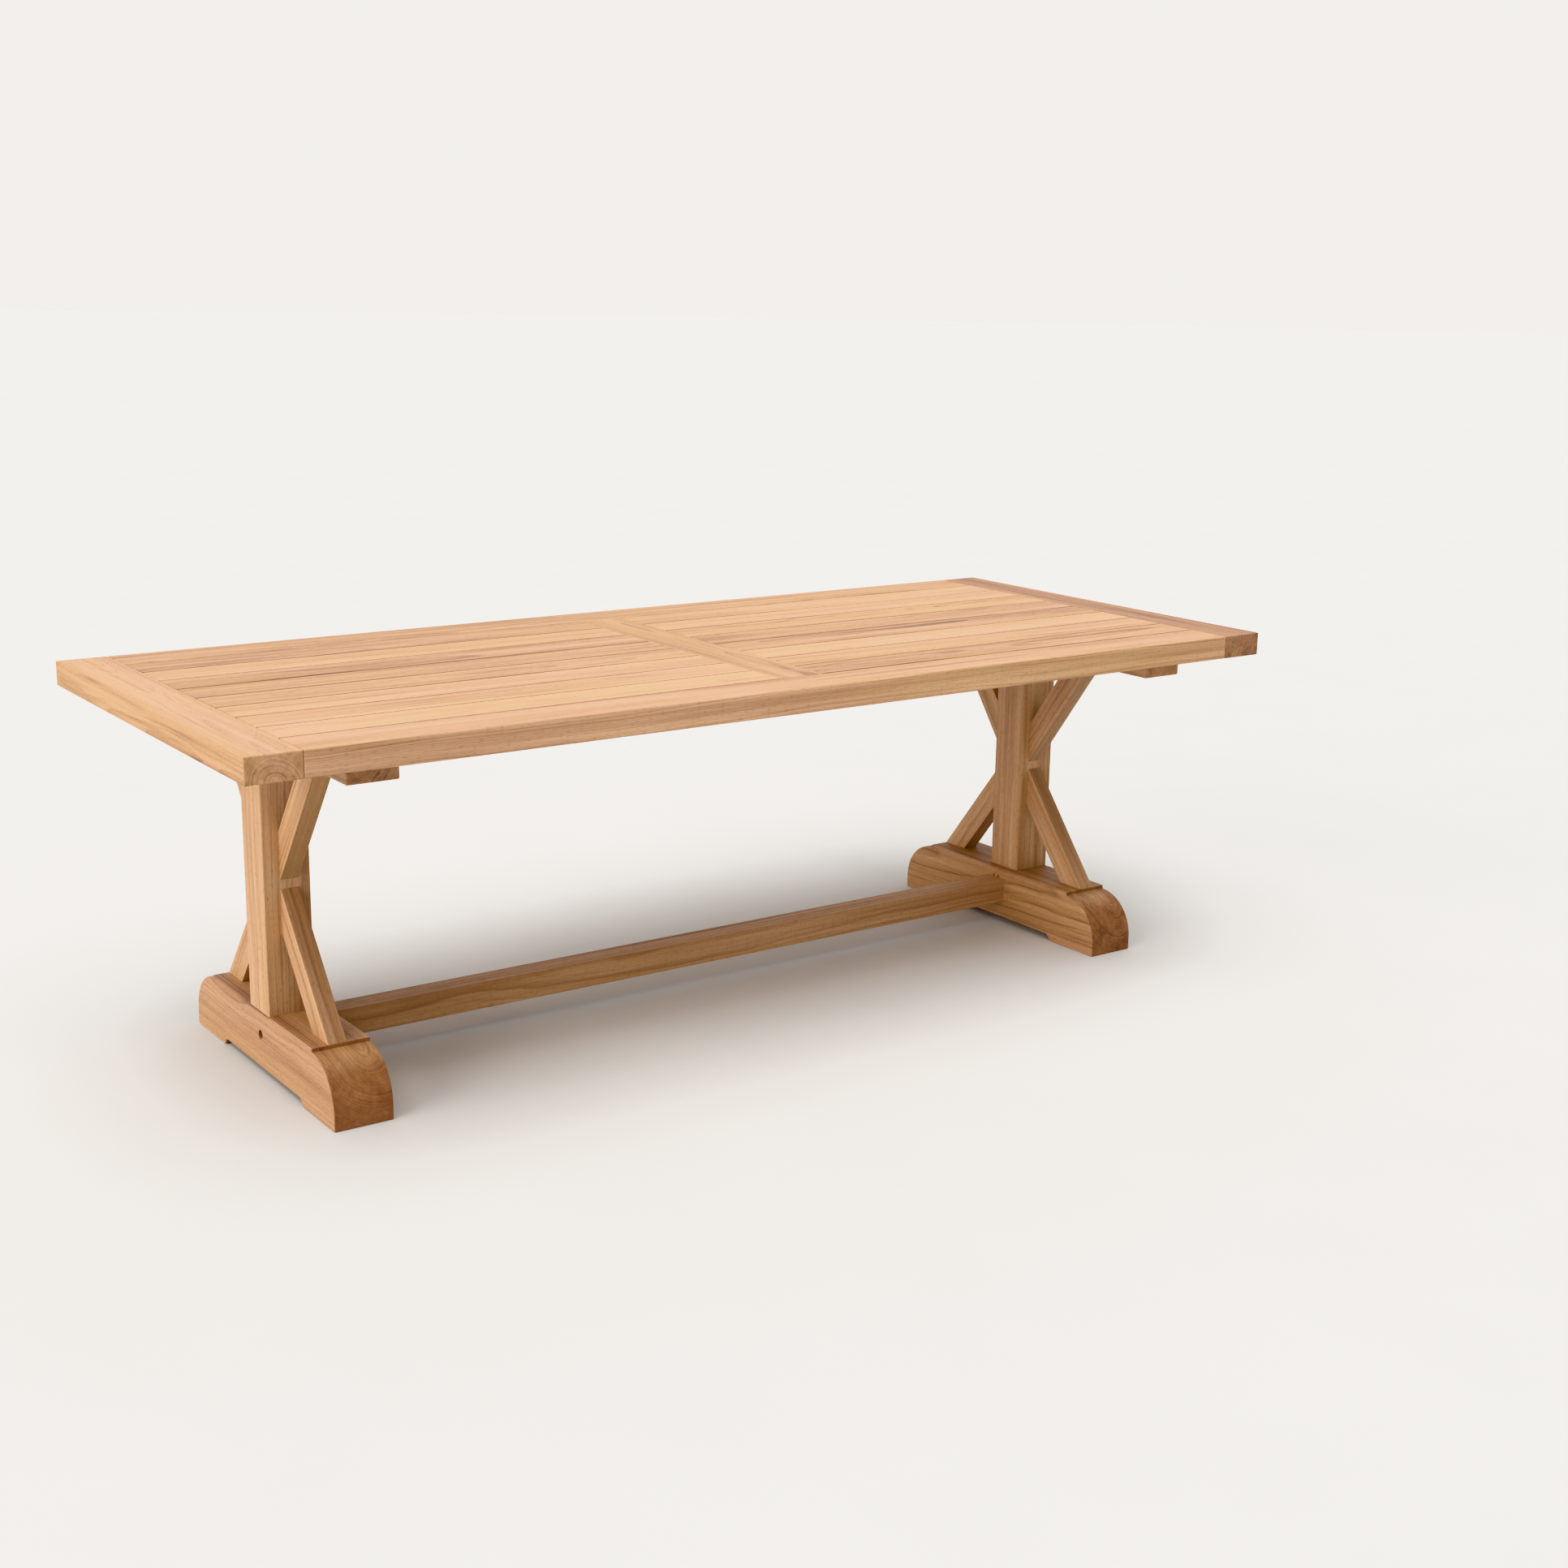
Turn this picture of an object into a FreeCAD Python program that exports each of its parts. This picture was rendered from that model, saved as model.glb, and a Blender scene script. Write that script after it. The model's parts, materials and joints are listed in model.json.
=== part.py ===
import FreeCAD, Part
import math
import os
import Sketcher
from FreeCAD import Placement, Rotation, Vector

# A long dining table in solid teak. A framed top (two end boards, two side rails, a cross board in the
# middle and two fields of loose slats) is bolted to two trestles, and one low stretcher joins the trestles.
# A trestle is a bearer, a post, a sled-shaped foot and four braces that start near the middle of the post.
# The table's frame: X along its length, Y across it, Z up, origin on the floor under its centre. It is the
# same after half a turn about Z, so each right-hand or back piece is a left-hand or front one, turned.

# Driving dimensions, in millimetres.
DIMENSIONS = {
    "top_length": 2400,
    "top_width": 1000,
    "table_height": 760,
    # end boards, side rails and cross board
    "board_width": 105,
    "board_thick": 50,
    "cross_thick": 40,
    "slat_thick": 24,
    "slat_gap": 4,
    "tongue_thick": 12,
    "tongue_length": 16,
    "rail_tenon_length": 50,
    "rail_tenon_width": 64,
    "rail_tenon_thick": 18,
    "cross_tenon_length": 30,
    "cross_tenon_width": 75,
    "cross_tenon_thick": 14,
    "batten_width": 60,
    "batten_tenon_length": 12,
    "batten_tenon_width": 40,
    "batten_tenon_thick": 14,
    # trestles
    "trestle_inset": 200,
    "bearer_width": 100,
    "bearer_length": 900,
    "bearer_thick": 35,
    "post_width": 95,
    "post_tenon_width": 60,
    "post_tenon_thick": 32,
    "post_tenon_drop": 40,
    "foot_length": 690,
    "foot_width": 118,
    "foot_height": 133,
    "toe_height": 30,
    "toe_radius": 95,
    "relief_height": 14,
    "relief_run": 24,
    "pad_length": 140,
    "brace_width": 56,
    "brace_thick": 38,
    "brace_setback": 34,
    "brace_reach": 249,
    "upper_brace_base": 402,
    "lower_brace_top": 384,
    "brace_tenon_thick": 20,
    "brace_tenon_length": 12,
    "brace_shoulder": 14,
    # stretcher
    "stretcher_width": 60,
    "stretcher_height": 56,
    "stretcher_base": 54,
    "stretcher_tenon_length": 15,
    "stretcher_shoulder": 9,
    # fastenings
    "peg_diameter": 8,
    "peg_spacing": 32,
    "rail_peg_length": 38,
    "side_peg_spacing": 16,
    "side_peg_length": 84,
    "bolt_diameter": 8,
    "bolt_head_diameter": 13,
    "bolt_head_height": 6,
    "bolt_socket": 6,
    "bolt_socket_depth": 4,
    "washer_diameter": 17,
    "washer_thick": 1.6,
    "counterbore_diameter": 20,
    "foot_counterbore": 14,
    "bearer_counterbore": 9,
    "bearer_bolt_inset": 28,
    "bearer_bolt_spacing": 56,
    "bearer_bolt_length": 42,
    "insert_diameter": 12,
    "insert_length": 18,
    "insert_hole_depth": 21,
    "stretcher_bolt_length": 150,
    "barrel_nut_diameter": 14,
    "barrel_nut_length": 36,
    "barrel_nut_inset": 35,
    "screw_diameter": 4,
    "screw_length": 36,
    "screw_head_diameter": 8,
    "screw_head_height": 3,
    # easing of the edges, and clearances
    "board_edge": 2.5,
    "slat_edge": 2,
    "post_edge": 3,
    "brace_edge": 2,
    "fit": 0.2,
    "hole_play": 0.6,
}
SLATS_PER_FIELD = 8
MORTISE_EXTRA_DEPTH = 1.0  # a mortise is this much deeper than its tenon is long
ROOT_OVERLAP = 1.0  # a stub tenon starts this far inside its brace
PEG_PLAY = 0.1  # a peg's or a screw's hole is this much wider than the peg or the screw

doc = FreeCAD.newDocument("TrestleTable")
sheet = doc.addObject("Spreadsheet::Sheet", "Dims")


class Size:
    """A length that knows both its value and the spreadsheet expression that gives it."""

    def __init__(self, text, value):
        self.text = text
        self.value = float(value)

    def joined(self, sign, other, value):
        return Size(f"({self.text} {sign} {other.text})", value)

    def __add__(self, other):
        other = as_size(other)
        return self.joined("+", other, self.value + other.value)

    def __sub__(self, other):
        other = as_size(other)
        return self.joined("-", other, self.value - other.value)

    def __mul__(self, other):
        other = as_size(other)
        return self.joined("*", other, self.value * other.value)

    def __truediv__(self, other):
        other = as_size(other)
        return self.joined("/", other, self.value / other.value)

    def __neg__(self):
        return ZERO - self

    def root(self):
        return Size(f"sqrt({self.text})", math.sqrt(self.value))


def as_size(number):
    return number if isinstance(number, Size) else Size(f"({float(number)})", number)


def fill_sheet():
    """Writes the dimensions into the sheet and returns them as Sizes, by name."""
    sizes = {}
    for row, (alias, value) in enumerate(DIMENSIONS.items(), start=1):
        sheet.set(f"A{row}", str(value))
        sheet.setAlias(f"A{row}", alias)
        sizes[alias] = Size(f"Dims.{alias}", value)
    doc.recompute()
    return sizes


ZERO = Size("0", 0)
dim = fill_sheet()

# Places that several pieces share, in the table's frame.
top_half = dim["top_length"] / 2
board_half = dim["board_width"] / 2
rail_shoulder_x = top_half - dim["board_width"]
rail_y = dim["top_width"] / 2 - board_half
field_half = dim["top_width"] / 2 - dim["board_width"]
top_base = dim["table_height"] - dim["board_thick"]
slat_base = dim["board_thick"] - dim["slat_thick"]
slat_width = (field_half * 2 - dim["slat_gap"] * (SLATS_PER_FIELD + 1)) / SLATS_PER_FIELD
slat_pitch = slat_width + dim["slat_gap"]
slat_length = rail_shoulder_x - board_half
slat_x = (rail_shoulder_x + board_half) / 2
tongue_base = slat_base + (dim["slat_thick"] - dim["tongue_thick"]) / 2
trestle_face = top_half - dim["trestle_inset"]
bearer_x = trestle_face - dim["bearer_width"] / 2
post_x = trestle_face - dim["post_width"] / 2
foot_x = trestle_face - dim["foot_width"] / 2
brace_x = trestle_face - dim["brace_setback"] - dim["brace_thick"] / 2
bearer_base = top_base - dim["bearer_thick"]
batten_thick = dim["board_thick"] - dim["slat_thick"]
batten_xs = (bearer_x, (bearer_x + board_half) / 2)
post_half = dim["post_width"] / 2
foot_half = dim["foot_length"] / 2
stretcher_half = trestle_face - dim["foot_width"]
bolt_z = dim["stretcher_base"] + dim["stretcher_height"] / 2
nut_x = stretcher_half - dim["barrel_nut_inset"]
rail_peg_x = rail_shoulder_x + dim["rail_tenon_length"] / 2
cross_peg_y = field_half + dim["cross_tenon_length"] / 2
peg_half_spacing = dim["peg_spacing"] / 2
side_peg_half = dim["side_peg_spacing"] / 2
foot_peg_z = dim["foot_height"] - dim["post_tenon_drop"] / 2
bearer_peg_z = bearer_base + dim["bearer_thick"] / 2
peg_hole = dim["peg_diameter"] + PEG_PLAY
bolt_hole = dim["bolt_diameter"] + dim["hole_play"]
metal_hole = dim["bolt_diameter"] + dim["fit"] * 2
bearer_bolt_y = dim["bearer_length"] / 2 - dim["bearer_bolt_inset"]
bearer_bolt_half = dim["bearer_bolt_spacing"] / 2
# Each level of braces: where they start on the post, where they end, and which way that is, 1 up or -1 down.
upper_level = (dim["upper_brace_base"], bearer_base, 1)
lower_level = (dim["lower_brace_top"], dim["foot_height"], -1)


# ---------------------------------------------------------------- document helpers


def bind(obj, place, size):
    obj.setExpression(place, size.text)


def origin_plane(body, role):
    for feature in body.Origin.OriginFeatures:
        if feature.Role == role:
            return feature
    raise ValueError(role)


def new_body(label):
    body = doc.addObject("PartDesign::Body", label)
    body.Label = label
    return body


def put(body, x=ZERO, y=ZERO, z=ZERO, turned=False):
    """Places a body, turned half a turn about Z where asked."""
    body.Placement = Placement(Vector(x.value, y.value, z.value), Rotation(Vector(0, 0, 1), 180 * turned))
    bind(body, "Placement.Base.x", x)
    bind(body, "Placement.Base.y", y)
    bind(body, "Placement.Base.z", z)


def new_sketch(body, plane, offset=ZERO):
    """An empty sketch on one of the body's own origin planes, shifted along that plane's normal."""
    sketch = body.newObject("Sketcher::SketchObject", f"{body.Name}_sketch")
    sketch.AttachmentSupport = [(origin_plane(body, plane), "")]
    sketch.MapMode = "FlatFace"
    sketch.AttachmentOffset = Placement(Vector(0, 0, offset.value), Rotation())
    bind(sketch, "AttachmentOffset.Base.z", offset)
    return sketch


def hold(sketch, kind, args, size):
    """Adds one dimensional constraint and binds it to the sheet."""
    index = sketch.addConstraint(Sketcher.Constraint(kind, *args, size.value))
    bind(sketch, f"Constraints[{index}]", size)


def arc_between(start, end, radius, bend):
    """The short arc from start to end, with its centre to the left (bend 1) or to the right (bend -1)."""
    chord = end - start
    rise = math.sqrt(radius * radius - chord.Length * chord.Length / 4)
    left = Vector(-chord.y, chord.x, 0).normalize()
    centre = (start + end) * 0.5 + left * (rise * bend)
    first, last = (start, end) if bend > 0 else (end, start)
    angles = [math.atan2(p.y - centre.y, p.x - centre.x) for p in (first, last)]
    return Part.ArcOfCircle(Part.Circle(centre, Vector(0, 0, 1), radius), *angles)


def outline(sketch, corners, arcs=None):
    """A closed outline through the corners. arcs gives each arc's (radius, bend) by its first corner."""
    arcs = arcs or {}
    base = sketch.GeometryCount
    count = len(corners)
    points = [Vector(x.value, y.value, 0) for x, y in corners]
    ends = []
    for i in range(count):
        start, end = points[i], points[(i + 1) % count]
        if i in arcs:
            radius, bend = arcs[i]
            sketch.addGeometry(arc_between(start, end, radius.value, bend), False)
            ends.append((1, 2) if bend > 0 else (2, 1))
        else:
            sketch.addGeometry(Part.LineSegment(start, end), False)
            ends.append((1, 2))
    for i in range(count):
        following = (i + 1) % count
        joint = (base + i, ends[i][1], base + following, ends[following][0])
        sketch.addConstraint(Sketcher.Constraint("Coincident", *joint))
    for i, (x, y) in enumerate(corners):
        corner = (-1, 1, base + i, ends[i][0])
        hold(sketch, "DistanceX", corner, x)
        hold(sketch, "DistanceY", corner, y)
    for i, (radius, bend) in arcs.items():
        hold(sketch, "Radius", (base + i,), radius)


def rectangle(sketch, x_low, x_high, y_low, y_high):
    outline(sketch, [(x_low, y_low), (x_high, y_low), (x_high, y_high), (x_low, y_high)])


def centred_rectangle(sketch, x_size, y_size):
    rectangle(sketch, -x_size / 2, x_size / 2, -y_size / 2, y_size / 2)


def circle(sketch, x, y, diameter):
    index = sketch.addGeometry(Part.Circle(Vector(x.value, y.value, 0), Vector(0, 0, 1), diameter.value / 2))
    hold(sketch, "DistanceX", (-1, 1, index, 3), x)
    hold(sketch, "DistanceY", (-1, 1, index, 3), y)
    hold(sketch, "Diameter", (index,), diameter)


def hexagon(sketch, x, y, across_flats):
    corner_radius = across_flats / math.sqrt(3)
    turns = [math.radians(60 * i) for i in range(6)]
    outline(sketch, [(x + corner_radius * math.cos(a), y + corner_radius * math.sin(a)) for a in turns])


def pad(body, sketch, length, centred=False):
    feature = body.newObject("PartDesign::Pad", f"{body.Name}_pad")
    feature.Profile = sketch
    feature.SideType = "Symmetric" if centred else "One side"
    bind(feature, "Length", length)
    return feature


def pocket(body, sketch, depth, side="ahead"):
    """Cuts the sketch's outline ahead of it (along its normal), behind it, or on both sides of it."""
    doc.recompute()
    before = body.Shape.Volume
    feature = body.newObject("PartDesign::Pocket", f"{body.Name}_pocket")
    feature.Profile = sketch
    feature.SideType = "Symmetric" if side == "both" else "One side"
    feature.Reversed = side == "ahead"
    bind(feature, "Length", depth)
    doc.recompute()
    if body.Shape.Volume >= before:
        raise RuntimeError(f"{feature.Label} cuts nothing from {body.Label}")
    return feature


def ease_edges(body, base, radius, shortest=0.0):
    """Rounds the edges of a feature that are longer than shortest."""
    doc.recompute()
    edges = [f"Edge{i}" for i, edge in enumerate(base.Shape.Edges, start=1) if edge.Length > shortest]
    feature = body.newObject("PartDesign::Fillet", f"{body.Name}_eased")
    feature.Base = (base, edges)
    bind(feature, "Radius", radius)
    return feature


def board(body, x_size, y_size, thickness, edge):
    """A flat board centred on the body's Z axis, with its underside at Z 0 and all its edges eased."""
    sketch = new_sketch(body, "XY_Plane")
    centred_rectangle(sketch, x_size, y_size)
    ease_edges(body, pad(body, sketch, thickness), edge)


def mirrored(body, feature):
    """Repeats a feature on the other side of the body's YZ plane."""
    copy = body.newObject("PartDesign::Mirrored", f"{body.Name}_mirrored")
    copy.Originals = [feature]
    copy.MirrorPlane = (origin_plane(body, "YZ_Plane"), [""])
    body.Tip = copy
    return copy


# ---------------------------------------------------------------- the top


def rail_peg_places(x, y):
    """The two pegs through one rail tenon, given the tenon's middle."""
    return [(x, y - peg_half_spacing), (x, y + peg_half_spacing)]


def end_board(label, turned):
    """The board across one end of the top. Its inner edge, at +X, is grooved for the slats' tongues."""
    body = new_body(label)
    board(body, dim["board_width"], dim["top_width"], dim["board_thick"], dim["board_edge"])
    groove = new_sketch(body, "XY_Plane", tongue_base - dim["fit"])
    depth = dim["tongue_length"] + MORTISE_EXTRA_DEPTH
    rectangle(groove, board_half - depth, board_half, -field_half, field_half)
    pocket(body, groove, dim["tongue_thick"] + dim["fit"] * 2)
    mortises = new_sketch(body, "XY_Plane", (dim["board_thick"] - dim["rail_tenon_thick"]) / 2 - dim["fit"])
    deep = board_half - dim["rail_tenon_length"] - MORTISE_EXTRA_DEPTH
    half_width = dim["rail_tenon_width"] / 2 + dim["fit"]
    holes = new_sketch(body, "XY_Plane")
    for y in (-rail_y, rail_y):
        rectangle(mortises, deep, board_half, y - half_width, y + half_width)
        for place in rail_peg_places(board_half - dim["rail_tenon_length"] / 2, y):
            circle(holes, *place, peg_hole)
    pocket(body, mortises, dim["rail_tenon_thick"] + dim["fit"] * 2)
    pocket(body, holes, dim["rail_peg_length"] + MORTISE_EXTRA_DEPTH)
    put(body, board_half - top_half if not turned else top_half - board_half, z=top_base, turned=turned)
    return body


def side_rail(label, turned):
    """A long rail of the top. Its inner edge, at +Y, holds the cross board and the battens."""
    body = new_body(label)
    board(body, rail_shoulder_x * 2, dim["board_width"], dim["board_thick"], dim["board_edge"])
    tenon_base = (dim["board_thick"] - dim["rail_tenon_thick"]) / 2
    tenons = new_sketch(body, "XY_Plane", tenon_base)
    tenon_end = rail_shoulder_x + dim["rail_tenon_length"]
    tenon_root = rail_shoulder_x - dim["board_width"]
    half_width = dim["rail_tenon_width"] / 2
    rectangle(tenons, tenon_root, tenon_end, -half_width, half_width)
    rectangle(tenons, -tenon_end, -tenon_root, -half_width, half_width)
    pad(body, tenons, dim["rail_tenon_thick"])
    cross_mortise = new_sketch(body, "XY_Plane", cross_tenon_base() - dim["fit"])
    cross_half = dim["cross_tenon_width"] / 2 + dim["fit"]
    deep = board_half - dim["cross_tenon_length"] - MORTISE_EXTRA_DEPTH
    rectangle(cross_mortise, -cross_half, cross_half, deep, board_half)
    pocket(body, cross_mortise, dim["cross_tenon_thick"] + dim["fit"] * 2)
    batten_mortises = new_sketch(body, "XY_Plane", batten_tenon_base() - dim["fit"])
    deep = board_half - dim["batten_tenon_length"] - MORTISE_EXTRA_DEPTH
    batten_half = dim["batten_tenon_width"] / 2 + dim["fit"]
    for x in batten_xs:
        for centre in (-x, x):
            rectangle(batten_mortises, centre - batten_half, centre + batten_half, deep, board_half)
    pocket(body, batten_mortises, dim["batten_tenon_thick"] + dim["fit"] * 2)
    peg_holes = new_sketch(body, "XY_Plane")
    for x in (-rail_peg_x, rail_peg_x):
        for place in rail_peg_places(x, ZERO):
            circle(peg_holes, *place, peg_hole)
    for x in (-peg_half_spacing, peg_half_spacing):
        circle(peg_holes, x, board_half - dim["cross_tenon_length"] / 2, peg_hole)
    pocket(body, peg_holes, dim["rail_peg_length"] + MORTISE_EXTRA_DEPTH)
    insert_holes = new_sketch(body, "XY_Plane")
    for x in (-bearer_x, bearer_x):
        for shift in (-bearer_bolt_half, bearer_bolt_half):
            circle(insert_holes, x + shift, rail_y - bearer_bolt_y, dim["insert_diameter"] + PEG_PLAY)
    pocket(body, insert_holes, dim["insert_hole_depth"])
    put(body, y=rail_y if turned else -rail_y, z=top_base, turned=turned)
    return body


def cross_tenon_base():
    """Height of the cross board's tenons above the underside of the top."""
    return dim["board_thick"] - dim["cross_thick"] / 2 - dim["cross_tenon_thick"] / 2


def batten_tenon_base():
    """Height of a batten's tenons above the underside of the top."""
    return (batten_thick - dim["batten_tenon_thick"]) / 2


def cross_board():
    """The board across the middle of the top, grooved on both edges and tenoned into the side rails."""
    body = new_body("cross_board")
    board(body, dim["board_width"], field_half * 2, dim["cross_thick"], dim["board_edge"])
    base = dim["board_thick"] - dim["cross_thick"]
    tenons = new_sketch(body, "XY_Plane", cross_tenon_base() - base)
    half_width = dim["cross_tenon_width"] / 2
    tenon_end = field_half + dim["cross_tenon_length"]
    tenon_root = field_half - dim["board_width"]
    rectangle(tenons, -half_width, half_width, tenon_root, tenon_end)
    rectangle(tenons, -half_width, half_width, -tenon_end, -tenon_root)
    pad(body, tenons, dim["cross_tenon_thick"])
    grooves = new_sketch(body, "XY_Plane", tongue_base - base - dim["fit"])
    inner = board_half - dim["tongue_length"] - MORTISE_EXTRA_DEPTH
    groove_end = field_half - dim["slat_gap"]
    rectangle(grooves, inner, board_half, -groove_end, groove_end)
    rectangle(grooves, -board_half, -inner, -groove_end, groove_end)
    pocket(body, grooves, dim["tongue_thick"] + dim["fit"] * 2)
    holes = new_sketch(body, "XY_Plane", -base)
    for x in (-peg_half_spacing, peg_half_spacing):
        for y in (-cross_peg_y, cross_peg_y):
            circle(holes, x, y, peg_hole)
    pocket(body, holes, dim["rail_peg_length"] + MORTISE_EXTRA_DEPTH)
    put(body, z=top_base + base)
    return body


def slat(label, index, turned):
    """One slat of a field, with a tongue on each end and a pilot hole over each batten."""
    body = new_body(label)
    board(body, slat_length, slat_width, dim["slat_thick"], dim["slat_edge"])
    tongue = new_sketch(body, "XY_Plane", tongue_base - slat_base)
    shoulder = dim["slat_edge"] * 2
    centred_rectangle(tongue, slat_length + dim["tongue_length"] * 2, slat_width - shoulder * 2)
    pad(body, tongue, dim["tongue_thick"])
    pilots = new_sketch(body, "XY_Plane")
    for x in batten_xs:
        circle(pilots, slat_x - x, ZERO, dim["screw_diameter"] + PEG_PLAY)
    pocket(body, pilots, dim["screw_length"] + dim["screw_head_height"] * 2 - batten_thick)
    y = slat_centre(index)
    put(body, slat_x if turned else -slat_x, y, top_base + slat_base, turned)
    return body


def slat_centre(index):
    return slat_pitch * index + slat_width / 2 + dim["slat_gap"] - field_half


def batten(label, x):
    """A batten under the slats, tenoned into the side rails and screwed up into each slat."""
    body = new_body(label)
    board(body, dim["batten_width"], field_half * 2, batten_thick, dim["slat_edge"])
    tenon = new_sketch(body, "XY_Plane", batten_tenon_base())
    centred_rectangle(tenon, dim["batten_tenon_width"], (field_half + dim["batten_tenon_length"]) * 2)
    pad(body, tenon, dim["batten_tenon_thick"])
    shanks = new_sketch(body, "XY_Plane")
    heads = new_sketch(body, "XY_Plane")
    for index in range(SLATS_PER_FIELD):
        circle(shanks, ZERO, slat_centre(index), dim["screw_diameter"] + PEG_PLAY)
        circle(heads, ZERO, slat_centre(index), dim["screw_head_diameter"] + dim["hole_play"])
    pocket(body, shanks, batten_thick)
    pocket(body, heads, dim["screw_head_height"] * 2)
    put(body, x, z=top_base)
    return body


# ---------------------------------------------------------------- the trestles


def brace_cuts(level):
    """The height that a brace takes up on the post, and the length that it takes up at its far end."""
    start, far_height, _ = level
    slope = (far_height - start) / (dim["brace_reach"] - post_half)
    rise = dim["brace_width"] * (slope * slope + 1).root()
    run = rise / slope
    return rise, run


def brace_stubs(level, play=ZERO):
    """The stub tenons of a brace, one in the post and one in the bearer or the foot."""
    start, _, direction = level
    rise, run = brace_cuts(level)
    at_post = (
        start + (dim["brace_shoulder"] - play) * direction,
        start + (rise - dim["brace_shoulder"] + play) * direction,
    )
    at_far_end = (
        dim["brace_reach"] - run * direction + dim["brace_shoulder"] - play,
        dim["brace_reach"] - dim["brace_shoulder"] + play,
    )
    return at_post, at_far_end


def brace_mortise_sides(centre_x):
    """The two sides, along X, of the braces' mortises in a piece of the left trestle centred on centre_x."""
    middle = centre_x - brace_x
    half = dim["brace_tenon_thick"] / 2 + dim["fit"]
    return middle - half, middle + half


def brace(label, right, level, turned):
    """A brace from the middle of the post up to the bearer or down to the foot."""
    body = new_body(label)
    start, far_height, direction = level
    rise, run = brace_cuts(level)
    profile = new_sketch(body, "YZ_Plane")
    corners = [
        (post_half, start),
        (dim["brace_reach"], far_height),
        (dim["brace_reach"] - run * direction, far_height),
        (post_half, start + rise * direction),
    ]
    outline(profile, corners)
    timber = pad(body, profile, dim["brace_thick"], centred=True)
    ease_edges(body, timber, dim["brace_edge"], shortest=dim["brace_reach"].value)
    at_post, at_far_end = brace_stubs(level)
    stubs = new_sketch(body, "YZ_Plane")
    rectangle(stubs, post_half - dim["brace_tenon_length"], post_half + ROOT_OVERLAP, *at_post)
    far_root = far_height - ROOT_OVERLAP * direction
    far_tip = far_height + dim["brace_tenon_length"] * direction
    rectangle(stubs, *at_far_end, far_root, far_tip)
    pad(body, stubs, dim["brace_tenon_thick"], centred=True)
    put(body, brace_x if right else -brace_x, turned=turned)
    return body


def bearer(label, turned):
    """The bar across the top of a trestle that the table top rests on and is bolted to."""
    body = new_body(label)
    board(body, dim["bearer_width"], dim["bearer_length"], dim["bearer_thick"], dim["board_edge"])
    shift = bearer_x - post_x
    mortise = new_sketch(body, "XY_Plane")
    half_thick = dim["post_tenon_thick"] / 2 + dim["fit"]
    half_width = dim["post_tenon_width"] / 2 + dim["fit"]
    rectangle(mortise, shift - half_thick, shift + half_thick, -half_width, half_width)
    pocket(body, mortise, dim["bearer_thick"])
    brace_mortises = new_sketch(body, "XY_Plane")
    start_x, end_x = brace_mortise_sides(bearer_x)
    near, far = brace_stubs(upper_level, dim["fit"])[1]
    rectangle(brace_mortises, start_x, end_x, near, far)
    rectangle(brace_mortises, start_x, end_x, -far, -near)
    pocket(body, brace_mortises, dim["brace_tenon_length"] + MORTISE_EXTRA_DEPTH)
    bolt_holes = new_sketch(body, "XY_Plane")
    counterbores = new_sketch(body, "XY_Plane")
    for x in (-bearer_bolt_half, bearer_bolt_half):
        for y in (-bearer_bolt_y, bearer_bolt_y):
            circle(bolt_holes, x, y, bolt_hole)
            circle(counterbores, x, y, dim["counterbore_diameter"])
    pocket(body, bolt_holes, dim["bearer_thick"])
    pocket(body, counterbores, dim["bearer_counterbore"])
    peg_holes = new_sketch(body, "YZ_Plane", dim["bearer_width"] / 2)
    for y in (-side_peg_half, side_peg_half):
        circle(peg_holes, y, dim["bearer_thick"] / 2, peg_hole)
    pocket(body, peg_holes, dim["side_peg_length"] + MORTISE_EXTRA_DEPTH, side="behind")
    put(body, bearer_x if turned else -bearer_x, z=bearer_base, turned=turned)
    return body


def post(label, turned):
    """The square post of a trestle, tenoned up through the bearer and down into the foot."""
    body = new_body(label)
    height = bearer_base - dim["foot_height"]
    profile = new_sketch(body, "XY_Plane")
    centred_rectangle(profile, dim["post_width"], dim["post_width"])
    timber = pad(body, profile, height)
    ease_edges(body, timber, dim["post_edge"], shortest=dim["post_width"].value * 2)
    tenon = new_sketch(body, "XY_Plane", -dim["post_tenon_drop"])
    centred_rectangle(tenon, dim["post_tenon_thick"], dim["post_tenon_width"])
    pad(body, tenon, dim["post_tenon_drop"] + height + dim["bearer_thick"] - MORTISE_EXTRA_DEPTH)
    start_x, end_x = brace_mortise_sides(post_x)
    deep = post_half - dim["brace_tenon_length"] - MORTISE_EXTRA_DEPTH
    for level in (upper_level, lower_level):
        direction = level[2]
        ends = brace_stubs(level, dim["fit"])[0]
        low = ends[0] if direction > 0 else ends[1]
        mortises = new_sketch(body, "XY_Plane", low - dim["foot_height"])
        rectangle(mortises, start_x, end_x, deep, post_half)
        rectangle(mortises, start_x, end_x, -post_half, -deep)
        pocket(body, mortises, (ends[1] - ends[0]) * direction)
    peg_holes = new_sketch(body, "YZ_Plane")
    for y in (-side_peg_half, side_peg_half):
        circle(peg_holes, y, foot_peg_z - dim["foot_height"], peg_hole)
        circle(peg_holes, y, bearer_peg_z - dim["foot_height"], peg_hole)
    pocket(body, peg_holes, dim["post_width"], side="both")
    put(body, post_x if turned else -post_x, z=dim["foot_height"], turned=turned)
    return body


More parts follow.
